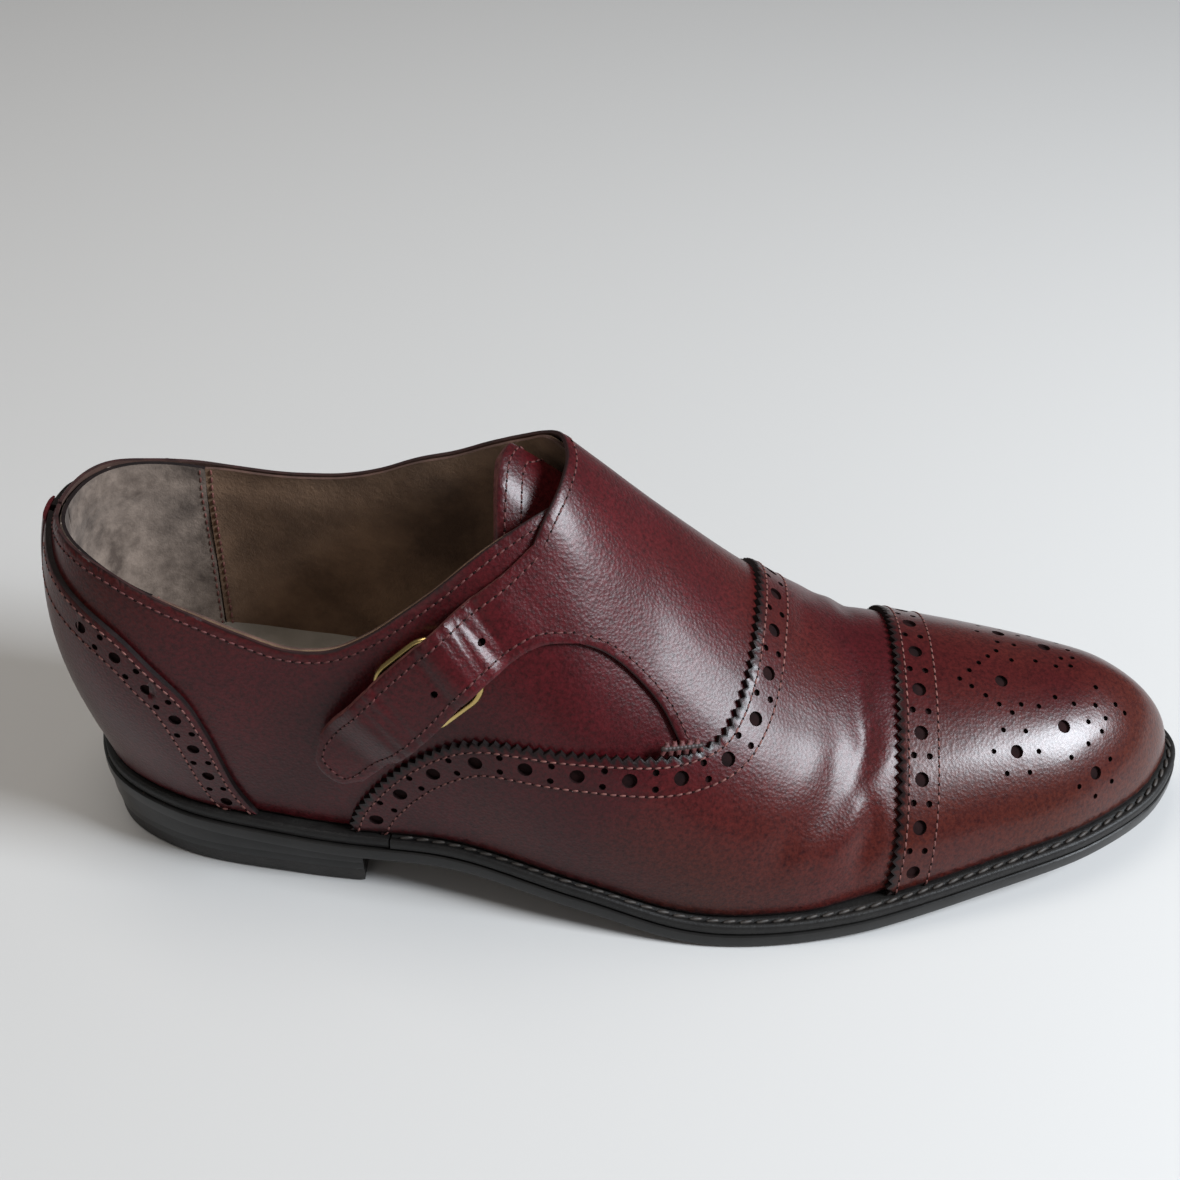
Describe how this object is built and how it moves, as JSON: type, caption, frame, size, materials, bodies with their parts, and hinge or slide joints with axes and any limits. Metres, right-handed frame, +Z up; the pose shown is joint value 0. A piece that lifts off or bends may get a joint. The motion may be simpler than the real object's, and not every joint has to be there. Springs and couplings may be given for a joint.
{
  "type": "monk strap shoe",
  "caption": "Leather cap-toe brogue shoe for the right foot, closed over the instep by one strap on a brass buckle, with stitched welt and stacked heel.",
  "frame": {"origin": "middle of the shoe's box on the ground plane", "axes": "+X towards the toe, -Y to the outer side with the buckle, +Z up"},
  "size_m": [0.3008, 0.1084, 0.1131],
  "materials": {
    "calf_leather": "polished burgundy calf, fine grain",
    "quarter_leather": "burgundy calf, soft sheen",
    "suede_lining": "brown suede, matt",
    "grip_suede": "grey-brown rough suede, matt",
    "leather_board": "pressed leather board, matt",
    "sock_leather": "grey-beige thin leather, matt",
    "black_sole_leather": "black stained and waxed edge, satin",
    "brass": "polished",
    "steel": "plain",
    "cork": "ground cork, matt",
    "heel_rubber": "black, matt",
    "waxed_thread": "dark waxed thread"
  },
  "bodies": {
    "shoe": {"toe_cap": "calf_leather", "vamp": "calf_leather", "outer_quarter": "quarter_leather", "inner_quarter": "quarter_leather", "outer_foxing": "calf_leather", "inner_foxing": "calf_leather", "backstay": "calf_leather", "toe_puff": "leather_board", "heel_stiffener": "leather_board", "vamp_lining": "suede_lining", "outer_quarter_lining": "suede_lining", "inner_quarter_lining": "suede_lining", "heel_grip_lining": "grip_suede", "strap_bar_tack": "waxed_thread", "chape": "calf_leather", "outsole": "black_sole_leather", "welt": "black_sole_leather", "heel_rand": "black_sole_leather", "cork_filler": "cork", "shank": "steel", "insole": "leather_board", "sock": "sock_leather", "heel_lift_1": "black_sole_leather", "heel_lift_2": "black_sole_leather", "heel_top_piece": "heel_rubber", "heel_nail_1": "steel", "heel_nail_2": "steel", "heel_nail_3": "steel", "heel_nail_4": "steel", "heel_nail_5": "steel"},
    "strap": {"strap": "calf_leather", "strap_lining": "suede_lining"},
    "buckle": {"buckle_frame": "brass"},
    "prong": {"buckle_prong": "brass"},
    "tongue": {"tongue": "quarter_leather", "tongue_lining": "suede_lining"}
  },
  "joints": [
    {"name": "strap_fold", "type": "hinge", "parent": "shoe", "child": "strap", "pos_m": [-0.01843, -0.02584, 0.09097], "axis": [-0.4305, 0.4046, 0.8068], "range_deg": [0, 100]},
    {"name": "buckle_swivel", "type": "hinge", "parent": "shoe", "child": "buckle", "pos_m": [-0.0572, -0.03578, 0.06267], "axis": [0.682, -0.1503, -0.7157], "range_deg": [0, 30]},
    {"name": "prong_pivot", "type": "hinge", "parent": "buckle", "child": "prong", "pos_m": [-0.0572, -0.03578, 0.06267], "axis": [0.682, -0.1503, -0.7157], "range_deg": [0, 5]},
    {"name": "tongue_flex", "type": "hinge", "parent": "shoe", "child": "tongue", "pos_m": [0.03404, 0.01069, 0.05937], "axis": [0, -1, 0], "range_deg": [0, 10], "stiffness_Nm_per_rad": 0.3, "springref_deg": -2.86}
  ],
  "couplings": [
    {"joint": "buckle_swivel", "follows": "strap_fold", "ratio": 0.3},
    {"joint": "prong_pivot", "follows": "strap_fold", "ratio": 0.05}
  ]
}
